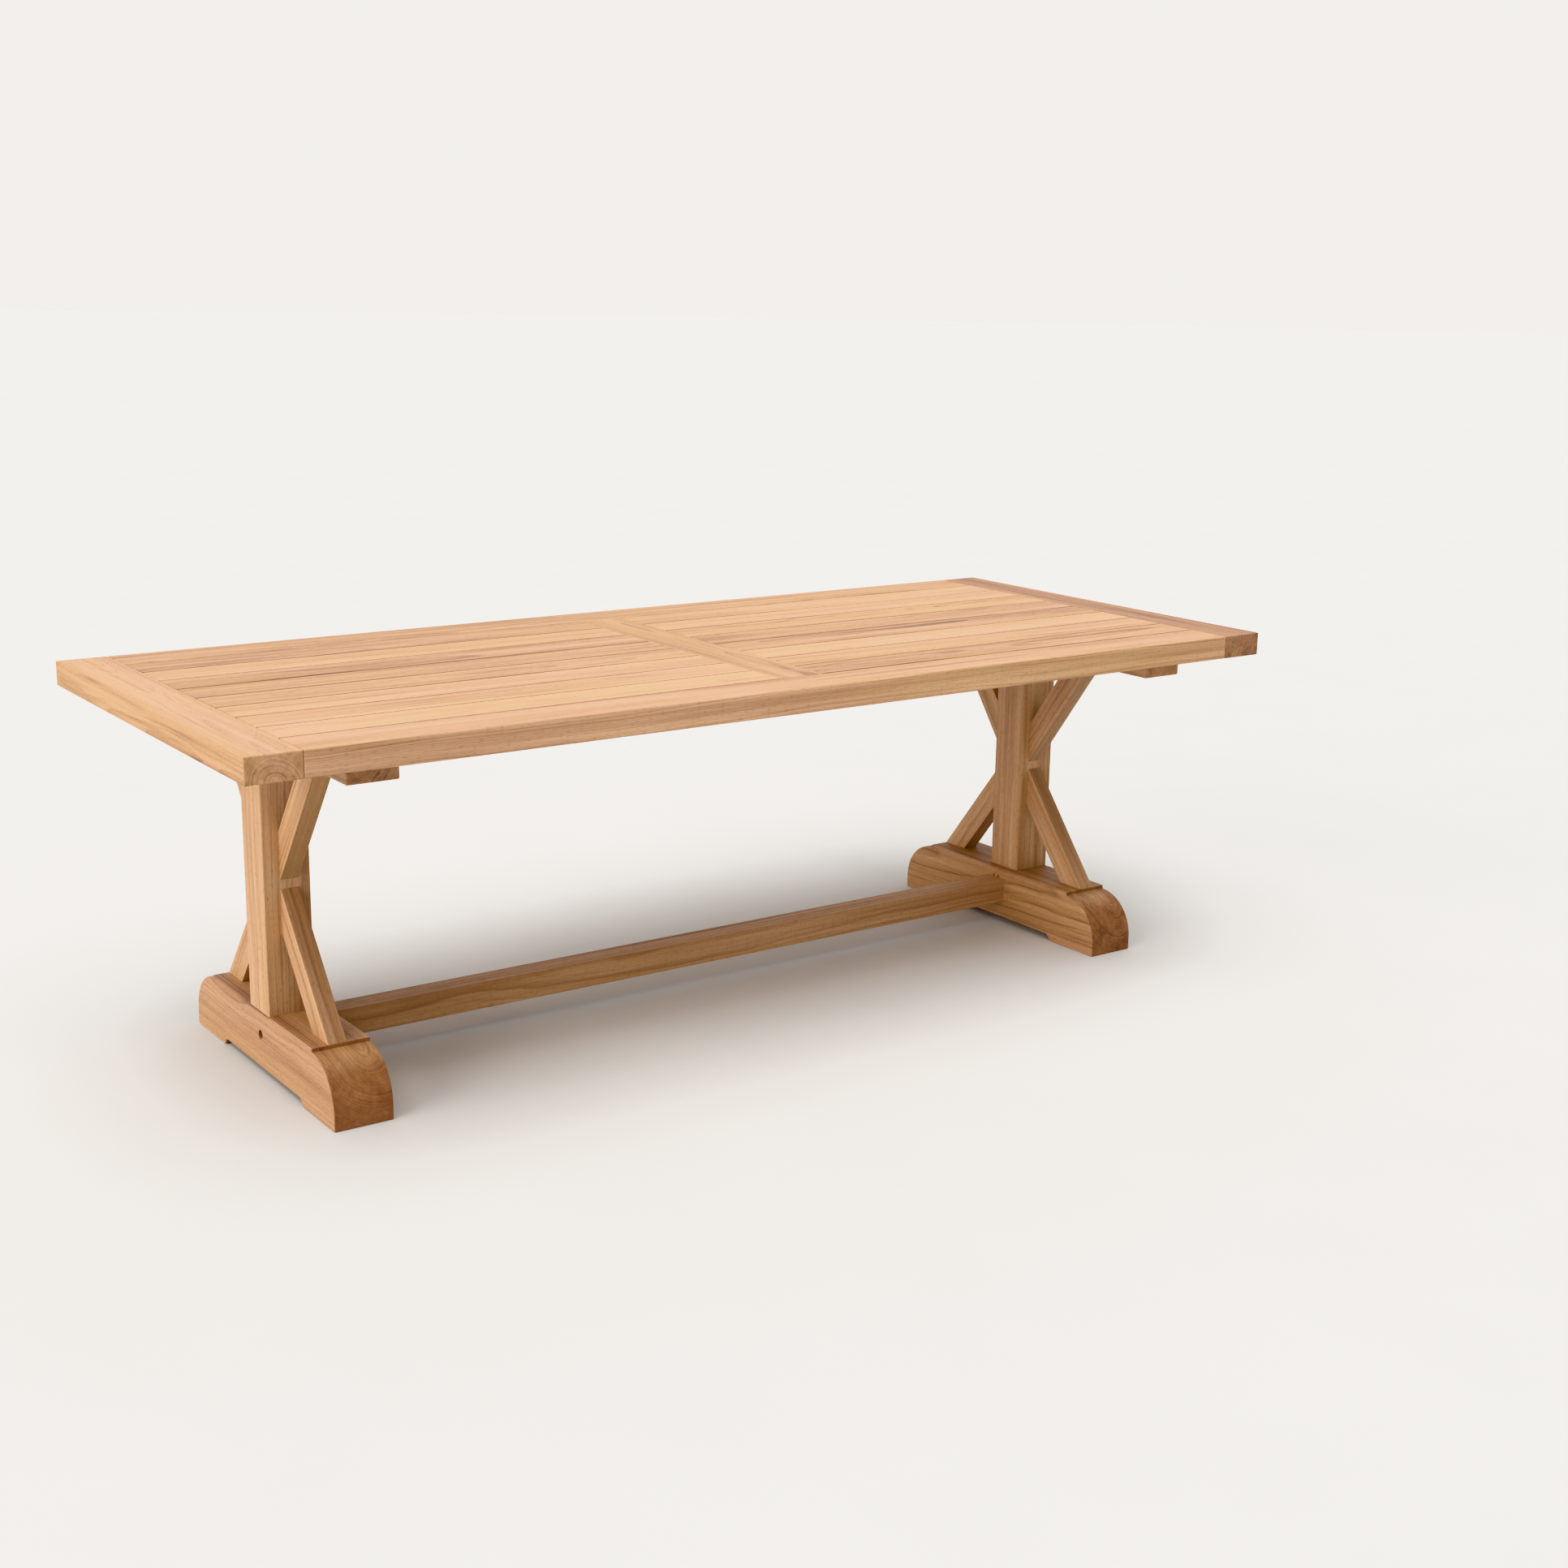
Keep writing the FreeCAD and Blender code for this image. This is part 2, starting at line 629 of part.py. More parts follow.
def foot_outline(sketch):
    """The foot seen along X: two pads with a shallow arch between them, and round toes."""
    half_foot = [
        (foot_half - dim["pad_length"] - dim["relief_run"], dim["relief_height"]),
        (foot_half - dim["pad_length"] - dim["relief_run"] / 2, dim["relief_height"] / 2),
        (foot_half - dim["pad_length"], ZERO),
        (foot_half, ZERO),
        (foot_half, dim["toe_height"]),
        (foot_half - dim["toe_radius"], dim["toe_height"] + dim["toe_radius"]),
        (foot_half - dim["toe_radius"], dim["foot_height"]),
    ]
    run, rise = dim["relief_run"], dim["relief_height"]
    ogee = (run * run + rise * rise) / (rise * 4)
    toe = (dim["toe_radius"], 1)
    corners = half_foot + [(-y, z) for y, z in reversed(half_foot)]
    last = len(corners) - 2
    arcs = {0: (ogee, -1), 1: (ogee, 1), 4: toe}
    arcs.update({last - i: arc for i, arc in arcs.items()})
    outline(sketch, corners, arcs)


def foot(label, turned):
    """The sled-shaped foot of a trestle. Its inner face, at +X, holds the stretcher."""
    body = new_body(label)
    profile = new_sketch(body, "YZ_Plane")
    foot_outline(profile)
    timber = pad(body, profile, dim["foot_width"], centred=True)
    ease_edges(body, timber, dim["board_edge"])
    shift = foot_x - post_x
    half_thick = dim["post_tenon_thick"] / 2 + dim["fit"]
    half_width = dim["post_tenon_width"] / 2 + dim["fit"]
    depth = dim["post_tenon_drop"] + MORTISE_EXTRA_DEPTH
    mortise = new_sketch(body, "XY_Plane", dim["foot_height"] - depth)
    rectangle(mortise, shift - half_thick, shift + half_thick, -half_width, half_width)
    pocket(body, mortise, depth)
    depth = dim["brace_tenon_length"] + MORTISE_EXTRA_DEPTH
    brace_mortises = new_sketch(body, "XY_Plane", dim["foot_height"] - depth)
    start_x, end_x = brace_mortise_sides(foot_x)
    near, far = brace_stubs(lower_level, dim["fit"])[1]
    rectangle(brace_mortises, start_x, end_x, near, far)
    rectangle(brace_mortises, start_x, end_x, -far, -near)
    pocket(body, brace_mortises, depth)
    half = dim["foot_width"] / 2
    stretcher_mortise = new_sketch(body, "YZ_Plane", half)
    stretcher_section(stretcher_mortise, dim["stretcher_base"], dim["stretcher_shoulder"] - dim["fit"])
    pocket(body, stretcher_mortise, dim["stretcher_tenon_length"] + MORTISE_EXTRA_DEPTH, side="behind")
    bolt = new_sketch(body, "YZ_Plane")
    circle(bolt, ZERO, bolt_z, bolt_hole)
    pocket(body, bolt, dim["foot_width"], side="both")
    counterbore = new_sketch(body, "YZ_Plane", -half)
    circle(counterbore, ZERO, bolt_z, dim["counterbore_diameter"])
    pocket(body, counterbore, dim["foot_counterbore"])
    peg_holes = new_sketch(body, "YZ_Plane", half)
    for y in (-side_peg_half, side_peg_half):
        circle(peg_holes, y, foot_peg_z, peg_hole)
    pocket(body, peg_holes, dim["side_peg_length"] + MORTISE_EXTRA_DEPTH, side="behind")
    put(body, foot_x if turned else -foot_x, turned=turned)
    return body


# ---------------------------------------------------------------- the stretcher


def stretcher_section(sketch, base, margin):
    half = dim["stretcher_width"] / 2 - margin
    rectangle(sketch, -half, half, base + margin, base + dim["stretcher_height"] - margin)


def stretcher():
    """The low beam between the feet, with a stub tenon, a bolt bore and a barrel nut's hole at each end."""
    body = new_body("stretcher")
    section = new_sketch(body, "YZ_Plane")
    stretcher_section(section, ZERO, ZERO)
    timber = pad(body, section, stretcher_half * 2, centred=True)
    ease_edges(body, timber, dim["board_edge"], shortest=dim["stretcher_width"].value * 2)
    tenons = new_sketch(body, "YZ_Plane")
    stretcher_section(tenons, ZERO, dim["stretcher_shoulder"])
    tenon_end = stretcher_half + dim["stretcher_tenon_length"]
    pad(body, tenons, tenon_end * 2, centred=True)
    bore_depth = dim["stretcher_bolt_length"] - dim["foot_width"] + dim["foot_counterbore"]
    bore_depth = bore_depth + dim["stretcher_tenon_length"]
    for start, side in ((tenon_end, "behind"), (-tenon_end, "ahead")):
        bore = new_sketch(body, "YZ_Plane", start)
        circle(bore, ZERO, dim["stretcher_height"] / 2, bolt_hole)
        pocket(body, bore, bore_depth, side=side)
    nut_holes = new_sketch(body, "XY_Plane")
    for x in (-nut_x, nut_x):
        circle(nut_holes, x, ZERO, dim["barrel_nut_diameter"] + dim["fit"])
    pocket(body, nut_holes, (dim["stretcher_height"] + dim["barrel_nut_length"]) / 2)
    put(body, z=dim["stretcher_base"])
    return body


# ---------------------------------------------------------------- fastenings, one body for each kind


def upright_group(label, places, layers):
    """Alike upright fasteners. Each layer is (base height, height, outer diameter, bore or None)."""
    body = new_body(label)
    for base, height, diameter, bore in layers:
        sketch = new_sketch(body, "XY_Plane", base)
        for x, y in places:
            circle(sketch, x, y, diameter)
            if bore:
                circle(sketch, x, y, bore)
        pad(body, sketch, height)
    put(body)
    return body


def sideways_pair(label, places, start, length, diameter, bore=None):
    """Alike fasteners lying along X at the left, mirrored to the right of the table."""
    body = new_body(label)
    sketch = new_sketch(body, "YZ_Plane", -start)
    for y, z in places:
        circle(sketch, y, z, diameter)
        if bore:
            circle(sketch, y, z, bore)
    mirrored(body, pad(body, sketch, length))
    put(body)
    return body


def pegs():
    """Wooden pegs through the tenons of the side rails, the cross board, the posts and the bearers."""
    rail_places = []
    for x in (-rail_peg_x, rail_peg_x):
        for y in (-rail_y, rail_y):
            rail_places += rail_peg_places(x, y)
    peg_layer = (top_base, dim["rail_peg_length"], dim["peg_diameter"], None)
    cross_places = []
    for x in (-peg_half_spacing, peg_half_spacing):
        cross_places += [(x, -cross_peg_y), (x, cross_peg_y)]
    side_places = (-side_peg_half, side_peg_half)
    return [
        upright_group("rail_tenon_pegs", rail_places, [peg_layer]),
        upright_group("cross_board_pegs", cross_places, [peg_layer]),
        sideways_pair(
            "foot_tenon_pegs",
            [(y, foot_peg_z) for y in side_places],
            stretcher_half + dim["side_peg_length"],
            dim["side_peg_length"],
            dim["peg_diameter"],
        ),
        sideways_pair(
            "bearer_tenon_pegs",
            [(y, bearer_peg_z) for y in side_places],
            trestle_face - dim["bearer_width"] + dim["side_peg_length"],
            dim["side_peg_length"],
            dim["peg_diameter"],
        ),
    ]


def bearer_fastenings():
    """Bolts from below through the bearers into threaded inserts in the side rails, with their washers."""
    places = []
    for x in (-bearer_x, bearer_x):
        for shift in (-bearer_bolt_half, bearer_bolt_half):
            for y in (-bearer_bolt_y, bearer_bolt_y):
                places.append((x + shift, y))
    washer_base = bearer_base + dim["bearer_counterbore"] - dim["washer_thick"]
    head_base = washer_base - dim["bolt_head_height"]
    washer_layer = (washer_base, dim["washer_thick"], dim["washer_diameter"], metal_hole)
    bolts = upright_group(
        "bearer_bolts",
        places,
        [
            (head_base, dim["bolt_head_height"], dim["bolt_head_diameter"], None),
            (washer_base, dim["bearer_bolt_length"], dim["bolt_diameter"], None),
        ],
    )
    sockets = new_sketch(bolts, "XY_Plane", head_base)
    for x, y in places:
        hexagon(sockets, x, y, dim["bolt_socket"])
    pocket(bolts, sockets, dim["bolt_socket_depth"])
    insert_layer = (top_base, dim["insert_length"], dim["insert_diameter"], metal_hole)
    return [
        bolts,
        upright_group("bearer_washers", places, [washer_layer]),
        upright_group("threaded_inserts", places, [insert_layer]),
    ]


def stretcher_fastenings():
    """A long bolt through each foot into a barrel nut in the end of the stretcher, with its washer."""
    floor_x = trestle_face - dim["foot_counterbore"]
    shank_start = floor_x + dim["washer_thick"]
    head_start = shank_start + dim["bolt_head_height"]
    bolts = new_body("stretcher_bolts")
    head = new_sketch(bolts, "YZ_Plane", -head_start)
    circle(head, ZERO, bolt_z, dim["bolt_head_diameter"])
    mirrored(bolts, pad(bolts, head, dim["bolt_head_height"]))
    shank = new_sketch(bolts, "YZ_Plane", -shank_start)
    circle(shank, ZERO, bolt_z, dim["bolt_diameter"])
    mirrored(bolts, pad(bolts, shank, dim["stretcher_bolt_length"]))
    for start, side in ((-head_start, "ahead"), (head_start, "behind")):
        socket = new_sketch(bolts, "YZ_Plane", start)
        hexagon(socket, ZERO, bolt_z, dim["bolt_socket"])
        pocket(bolts, socket, dim["bolt_socket_depth"], side=side)
    put(bolts)
    washers = sideways_pair(
        "stretcher_washers",
        [(ZERO, bolt_z)],
        shank_start,
        dim["washer_thick"],
        dim["washer_diameter"],
        metal_hole,
    )
    nut_places = [(-nut_x, ZERO), (nut_x, ZERO)]
    nut_base = bolt_z - dim["barrel_nut_length"] / 2
    nut_layer = (nut_base, dim["barrel_nut_length"], dim["barrel_nut_diameter"], None)
    nuts = upright_group("barrel_nuts", nut_places, [nut_layer])
    cross_hole = new_sketch(nuts, "YZ_Plane")
    circle(cross_hole, ZERO, bolt_z, metal_hole)
    pocket(nuts, cross_hole, top_half * 2, side="both")
    return [bolts, washers, nuts]


def slat_screws():
    """Screws from below through the battens into the slats."""
    places = []
    for x in batten_xs:
        for centre in (-x, x):
            places += [(centre, slat_centre(i)) for i in range(SLATS_PER_FIELD)]
    head_base = top_base + dim["screw_head_height"]
    layers = [
        (head_base, dim["screw_head_height"], dim["screw_head_diameter"], None),
        (head_base, dim["screw_length"], dim["screw_diameter"], None),
    ]
    return upright_group("slat_screws", places, layers)


# ---------------------------------------------------------------- the whole table


def make_top():
    pieces = [end_board("end_board_left", False), end_board("end_board_right", True)]
    pieces += [side_rail("side_rail_front", False), side_rail("side_rail_back", True)]
    pieces.append(cross_board())
    for side, turned in (("left", False), ("right", True)):
        pieces += [slat(f"slat_{side}_{i + 1}", i, turned) for i in range(SLATS_PER_FIELD)]
    for side, sign in (("left", -1), ("right", 1)):
        pieces.append(batten(f"batten_{side}_outer", batten_xs[0] * sign))
        pieces.append(batten(f"batten_{side}_inner", batten_xs[1] * sign))
    return pieces


def make_trestle(side, turned):
    pieces = [bearer(f"bearer_{side}", turned), post(f"post_{side}", turned), foot(f"foot_{side}", turned)]
    for height, level in (("upper", upper_level), ("lower", lower_level)):
        for face, half_turn in (("front", True), ("back", False)):
            label = f"brace_{side}_{height}_{face}"
            pieces.append(brace(label, turned, level, half_turn))
    return pieces


def check(pieces):
    """Stops if any object of the document failed, or if a piece has no valid solid."""
    doc.recompute()
    for obj in doc.Objects:
        if "Invalid" in obj.State or "Error" in obj.State:
            raise RuntimeError(f"{obj.Label} failed: {obj.State}")
    for piece in pieces:
        if piece.Shape.isNull() or not piece.Shape.isValid() or not piece.Shape.Solids:
            raise RuntimeError(f"{piece.Label} has no valid solid")


def export(pieces):
    os.makedirs("parts", exist_ok=True)
    for piece in pieces:
        piece.Shape.exportStep(f"parts/{piece.Label}.step")
        print(f"{piece.Label}: {len(piece.Shape.Solids)} solid(s), {piece.Shape.Volume / 1000:.1f} cm3")


table = make_top()
table += make_trestle("left", False)
table += make_trestle("right", True)
table.append(stretcher())
table += pegs()
table += bearer_fastenings()
table += stretcher_fastenings()
table.append(slat_screws())
check(table)
export(table)
print(f"{len(table)} nodes")
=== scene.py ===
import json
import math
import random
from typing import NamedTuple

import bpy
from mathutils import Matrix, Vector


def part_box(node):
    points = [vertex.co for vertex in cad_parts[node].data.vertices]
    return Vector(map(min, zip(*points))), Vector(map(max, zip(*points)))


# A long dining table in solid teak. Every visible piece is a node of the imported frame. This script gives
# each of them its wood or metal, and adds the camera, the lights, the floor and the backdrop.
# Lengths are in metres, angles in degrees.

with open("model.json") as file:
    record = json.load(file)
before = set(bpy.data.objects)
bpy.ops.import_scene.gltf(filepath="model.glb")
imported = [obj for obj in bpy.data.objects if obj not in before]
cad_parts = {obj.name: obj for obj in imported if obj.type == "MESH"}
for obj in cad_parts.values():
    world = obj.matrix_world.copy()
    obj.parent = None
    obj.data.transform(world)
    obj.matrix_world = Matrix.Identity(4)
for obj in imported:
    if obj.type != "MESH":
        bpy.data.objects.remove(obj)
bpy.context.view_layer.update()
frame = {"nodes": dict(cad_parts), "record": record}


# ---------------------------------------------------------------- shader nodes

# The sockets of a Mix node that count when it mixes colours.
MIX_AMOUNT, MIX_FIRST, MIX_SECOND, MIX_RESULT = 0, 6, 7, 2


def new_material(name):
    """A material without any nodes yet, and its node tree."""
    material = bpy.data.materials.new(name)
    material.use_nodes = True
    material.node_tree.nodes.clear()
    return material, material.node_tree


def node(tree, kind, inputs=None, **settings):
    """Adds a shader node. inputs gives values, or sockets to link from, by input name or number."""
    made = tree.nodes.new("ShaderNode" + kind)
    for name, value in settings.items():
        setattr(made, name, value)
    for name, value in (inputs or {}).items():
        if isinstance(value, bpy.types.NodeSocket):
            tree.links.new(value, made.inputs[name])
        else:
            made.inputs[name].default_value = value
    return made


def compute(tree, operation, *values):
    """One Math node: returns its result."""
    return node(tree, "Math", dict(enumerate(values)), operation=operation).outputs[0]


def compute_vector(tree, operation, *values):
    """One Vector Math node: returns its result, a vector, or a number for a length or a dot product."""
    made = node(tree, "VectorMath", dict(enumerate(values)), operation=operation)
    return made.outputs["Value" if operation in ("LENGTH", "DOT_PRODUCT") else "Vector"]


def smooth_step(tree, value, low, high):
    """0 below low, 1 above high, smooth in between; the other way round where low is above high."""
    inputs = {"Value": value, "From Min": low, "From Max": high}
    return node(tree, "MapRange", inputs, interpolation_type="SMOOTHSTEP").outputs["Result"]


def noise(tree, place, along, across, detail=2.0, colour=False):
    """Noise with so many features in a metre along the grain and across it."""
    stretched = compute_vector(tree, "MULTIPLY", place, (along, across, across))
    made = node(tree, "TexNoise", {"Vector": stretched, "Scale": 1.0, "Detail": detail})
    return made.outputs["Color" if colour else "Fac"]


def swing(tree, value, amount):
    """Turns noise around a half into a swing around zero, of that amount each way."""
    return compute(tree, "MULTIPLY_ADD", value, amount * 2, -amount)


def total(tree, first, *others):
    for other in others:
        first = compute(tree, "ADD", first, other)
    return first


def weighted_sum(tree, *terms):
    """The sum of the terms. Each is given as a value and its weight."""
    return total(tree, *(compute(tree, "MULTIPLY", value, weight) for value, weight in terms))


def bump(tree, height, strength, depth):
    """One Bump node, which is depth metres deep where height is 1: returns the surface's new direction."""
    inputs = {"Height": height, "Strength": strength, "Distance": depth}
    return node(tree, "Bump", inputs).outputs["Normal"]


def finish_surface(tree, inputs):
    """Ends a material with one Principled shader, given its inputs."""
    shader = node(tree, "BsdfPrincipled", inputs)
    node(tree, "OutputMaterial", {"Surface": shader.outputs[0]})


def opaque(colour):
    return (*colour, 1)


def tinted(tree, colour, tint, amount=1.0):
    """The colour multiplied by the tint, wholly where amount is 1 and not at all where it is 0."""
    inputs = {MIX_AMOUNT: amount, MIX_FIRST: colour, MIX_SECOND: tint}
    return node(tree, "Mix", inputs, data_type="RGBA", blend_type="MULTIPLY").outputs[MIX_RESULT]


def colour_ramp(tree, factor, stops):
    made = node(tree, "ValToRGB", {"Fac": factor})
    elements = made.color_ramp.elements
    while len(elements) < len(stops):
        elements.new(1.0)
    for element, (position, colour) in zip(elements, stops):
        element.position = position
        element.color = opaque(colour)
    return made.outputs["Color"]


# ---------------------------------------------------------------- teak

PALE, HONEY = (0.61, 0.39, 0.245), (0.50, 0.30, 0.172)
TAN, BROWN = (0.37, 0.20, 0.11), (0.20, 0.10, 0.055)
SHADES = ((0.0, PALE), (0.34, HONEY), (0.72, TAN), (1.0, BROWN))
PINK_TINT, GOLD_TINT = (1.0, 0.98, 0.98), (1.0, 1.0, 0.88)
HUES = ((0.38, PINK_TINT), (0.62, GOLD_TINT))
# The end grain's darkening: real end grain, and on the feet deepened as painted shade.
END_GRAIN_AND_SHADE_TINT = (0.58, 0.44, 0.37)
# Painted shade on the faces that look sideways: the slats' edges along the seams, and the braces' long faces
# that look up and down.
PAINTED_SHADE_TINT = (0.42, 0.34, 0.28)
VEIN_TINT = (0.60, 0.46, 0.36)
PORE_TINT = (0.62, 0.52, 0.44)
PORE_STRENGTH = 0.7
MEAN_SHADE = 0.24  # the shade of a board whose tone is 0
TONE_STEP = 0.25  # how much darker one more of tone makes it

WOOD_ROUGHNESS = 0.58
PORE_ROUGHNESS, END_ROUGHNESS = 0.12, 0.15  # what pores and end grain add to it
BUMP_STRENGTH = 0.35
BUMP_DEPTH = 0.0004

RING_PITCH = 0.0055
RING_DRIFT = 0.045  # how far the rings wander along the board
RING_RIPPLE = 0.004  # and how far they ripple
GROWTH_CHANGES = 26.0  # how often the rings' width changes, in a metre outwards from the pith
GROWTH_SWING = 3.0  # by how many rings good or poor growth shifts them
LATE_WOOD_POWER = 2.5  # the higher, the later in its year a ring turns dark
PALEST_RING, RING_SPREAD = 0.3, 1.3  # how dark the palest ring is, and how much darker others can be

# The cut of each board: how far apart the cuts are, and how far off the pith lies, sideways and up or down.
CUT_SPREAD = 40
PITH_ASIDE = 0.08
PITH_NEAREST, PITH_FURTHEST = 0.02, 0.14
TONE_SPREAD = 0.1  # how far a board's tone strays from the one it is given
STEEP_GRAIN = 0.5  # grain that climbs more than this is that of an upright board


def teak_group():
    """Solid teak in a board's own space, with the grain along X, so that end grain and faces agree."""
    tree = bpy.data.node_groups.new("teak", "ShaderNodeTree")
    for name in ("Place", "Seed", "Pith"):
        tree.interface.new_socket(name, in_out="INPUT", socket_type="NodeSocketVector")
    for name in ("End", "PaintedShade", "Tone", "Figure", "Veins"):
        tree.interface.new_socket(name, in_out="INPUT", socket_type="NodeSocketFloat")
    for name, kind in (("Colour", "Color"), ("Roughness", "Float"), ("Height", "Float")):
        tree.interface.new_socket(name, in_out="OUTPUT", socket_type=f"NodeSocket{kind}")
    given = tree.nodes.new("NodeGroupInput").outputs
    place = compute_vector(tree, "ADD", given["Place"], given["Seed"])

    rings = growth_rings(tree, given, place)
    bands = noise(tree, place, along=0.8, across=16)
    streaks = noise(tree, place, along=1.6, across=44)
    fibre = noise(tree, place, along=2.4, across=110, detail=3)
    hair = noise(tree, place, along=9, across=520)
    veins = smooth_step(tree, noise(tree, place, along=1.1, across=42), low=0.60, high=0.78)
    pores = smooth_step(tree, noise(tree, place, along=75, across=1100, detail=0), low=0.62, high=0.76)

    figure = total(
        tree,
        swing(tree, bands, amount=0.50),
        swing(tree, streaks, amount=0.45),
        swing(tree, fibre, amount=0.40),
        swing(tree, hair, amount=0.14),
        compute(tree, "MULTIPLY", rings, 0.40),
    )
    board_shade = compute(tree, "MULTIPLY_ADD", given["Tone"], TONE_STEP, MEAN_SHADE)
    shade = compute(tree, "MULTIPLY_ADD", figure, given["Figure"], board_shade)
    hue = noise(tree, place, along=0.7, across=10)
    colour = tinted(tree, colour_ramp(tree, shade, SHADES), colour_ramp(tree, hue, HUES))
    colour = tinted(tree, colour, opaque(VEIN_TINT), compute(tree, "MULTIPLY", veins, given["Veins"]))
    colour = tinted(tree, colour, opaque(PORE_TINT), compute(tree, "MULTIPLY", pores, PORE_STRENGTH))
    # End grain is darker, and on the feet darker still as painted shade.
    colour = tinted(tree, colour, opaque(END_GRAIN_AND_SHADE_TINT), given["End"])
    # Painted shade: the faces that look sideways are darkened.
    colour = tinted(tree, colour, opaque(PAINTED_SHADE_TINT), given["PaintedShade"])

    roughness = total(
        tree,
        swing(tree, fibre, amount=0.08),
        compute(tree, "MULTIPLY_ADD", pores, PORE_ROUGHNESS, WOOD_ROUGHNESS),
        compute(tree, "MULTIPLY", given["End"], END_ROUGHNESS),
    )
    height = weighted_sum(tree, (fibre, 0.5), (hair, 0.4), (rings, 0.3), (pores, -0.8))
    results = {"Colour": colour, "Roughness": roughness, "Height": height}
    made = tree.nodes.new("NodeGroupOutput")
    for name, value in results.items():
        tree.links.new(value, made.inputs[name])
    return tree


def wander(tree, place, along, across):
    """A vector that wanders around zero, up to about a half each way."""
    return compute_vector(tree, "SUBTRACT", noise(tree, place, along, across, colour=True), (0.5, 0.5, 0.5))


def growth_rings(tree, given, place):
    """Darkness of the growth rings, which run round the pith of the log that the board was sawn from."""
    drift = wander(tree, place, along=1.3, across=5)
    ripple = wander(tree, place, along=7, across=45)
    bent = compute_vector(tree, "MULTIPLY_ADD", drift, (RING_DRIFT,) * 3, given["Place"])
    bent = compute_vector(tree, "MULTIPLY_ADD", ripple, (RING_RIPPLE,) * 3, bent)
    from_pith = compute_vector(tree, "SUBTRACT", bent, given["Pith"])
    outwards = compute_vector(tree, "MULTIPLY", from_pith, (0, 1, 1))
    radius = compute_vector(tree, "LENGTH", outwards)
    growth_place = {"W": compute(tree, "MULTIPLY", radius, GROWTH_CHANGES), "Scale": 1.0}
    growth = node(tree, "TexNoise", growth_place, noise_dimensions="1D").outputs["Fac"]
    rings = total(tree, compute(tree, "DIVIDE", radius, RING_PITCH), swing(tree, growth, GROWTH_SWING))
    share = compute(tree, "FRACT", rings)
    darkening = compute(tree, "POWER", share, LATE_WOOD_POWER)
    late = compute(tree, "MULTIPLY", darkening, smooth_step(tree, share, low=1.0, high=0.86))
    ring_number = {"W": compute(tree, "FLOOR", rings)}
    chance = node(tree, "TexWhiteNoise", ring_number, noise_dimensions="1D").outputs["Value"]
    darkness = compute(tree, "MULTIPLY_ADD", chance, RING_SPREAD, PALEST_RING)
    return compute(tree, "MULTIPLY", late, darkness)


def faces_along(tree, axis, low, high, amount):
    """That amount on the faces that look along the axis either way, and none on the others."""
    facing = compute_vector(tree, "DOT_PRODUCT", node(tree, "NewGeometry").outputs["Normal"], tuple(axis))
    return compute(tree, "MULTIPLY", smooth_step(tree, compute(tree, "ABSOLUTE", facing), low, high), amount)


def place_in_board(tree, centre, grain, side):
    """A point's place in the board's own space, which has the board's middle at 0 and its grain along X."""
    turn = Matrix((grain, side, grain.cross(side))).transposed().to_euler()
    point = node(tree, "TexCoord").outputs["Object"]
    to_board = {"Vector": point, "Location": centre, "Rotation": turn}
    return node(tree, "Mapping", to_board, vector_type="TEXTURE").outputs["Vector"]


def wood(name, group, centre, grain, look):
    """The teak of one board, with its grain along the direction given, and a cut of its own."""
    chance = random.Random(name)
    material, tree = new_material(f"teak_{name}")
    up = Vector((0, 0, 1)) if abs(grain.z) < STEEP_GRAIN else Vector((1, 0, 0))
    side = up.cross(grain).normalized()
    seed = [chance.uniform(-CUT_SPREAD, CUT_SPREAD) for _ in range(3)]
    pith_side = chance.uniform(-PITH_ASIDE, PITH_ASIDE)
    pith_depth = chance.choice((-1, 1)) * chance.uniform(PITH_NEAREST, PITH_FURTHEST)
    board = {
        "Place": place_in_board(tree, centre, grain, side),
        "Seed": seed,
        "Pith": (0, pith_side, pith_depth),
        # End grain darkened, on the feet partly as painted shade.
        "End": faces_along(tree, grain, low=0.30, high=0.80, amount=look.end_grain_and_shade),
        # Painted shade on the faces that look sideways.
        "PaintedShade": faces_along(tree, side, low=0.30, high=0.90, amount=look.side_painted_shade),
        "Tone": look.tone + chance.uniform(-TONE_SPREAD, TONE_SPREAD),
        "Figure": look.figure,
        "Veins": look.veins,
    }
    teak = node(tree, "Group", board, node_tree=group).outputs
    relief = bump(tree, teak["Height"], BUMP_STRENGTH, BUMP_DEPTH)
    surface = {"Base Color": teak["Colour"], "Roughness": teak["Roughness"], "Normal": relief}
    finish_surface(tree, surface)
    return material


# ---------------------------------------------------------------- metal

SCRATCH_DEPTH = 0.00005
SCRATCH_SHADE = 0.72  # how dark the metal's darkest places are, as a share of its colour
MIDDLE_SHADE = 0.5


def metal(name, colour, roughness, scratch):
    """Turned or rolled metal: fine scratches, and a roughness that varies a little."""
    material, tree = new_material(name)
    point = node(tree, "TexCoord").outputs["Object"]
    scratches = noise(tree, point, along=300, across=2600)
    patches = noise(tree, point, along=160, across=160)
    shade = total(tree, MIDDLE_SHADE, swing(tree, scratches, 0.25), swing(tree, patches, 0.25))
    dark = tuple(c * SCRATCH_SHADE for c in colour)
    tint = colour_ramp(tree, shade, ((0.2, dark), (0.8, colour)))
    rough = total(tree, roughness, swing(tree, scratches, 0.10), swing(tree, patches, 0.08))
    relief = bump(tree, scratches, scratch, SCRATCH_DEPTH)
    finish_surface(tree, {"Base Color": tint, "Roughness": rough, "Metallic": 1.0, "Normal": relief})
    return material


# ---------------------------------------------------------------- which piece is made of what


class Look(NamedTuple):
    """How a board differs from the next: its tone, darker above 0, its grain's strength, its end grain's
    darkening (on the feet partly painted shade) and the painted shade on its sideways faces.
    """

    tone: float
    figure: float = 1.0
    veins: float = 0.5
    end_grain_and_shade: float = 0.3
    side_painted_shade: float = 0.0


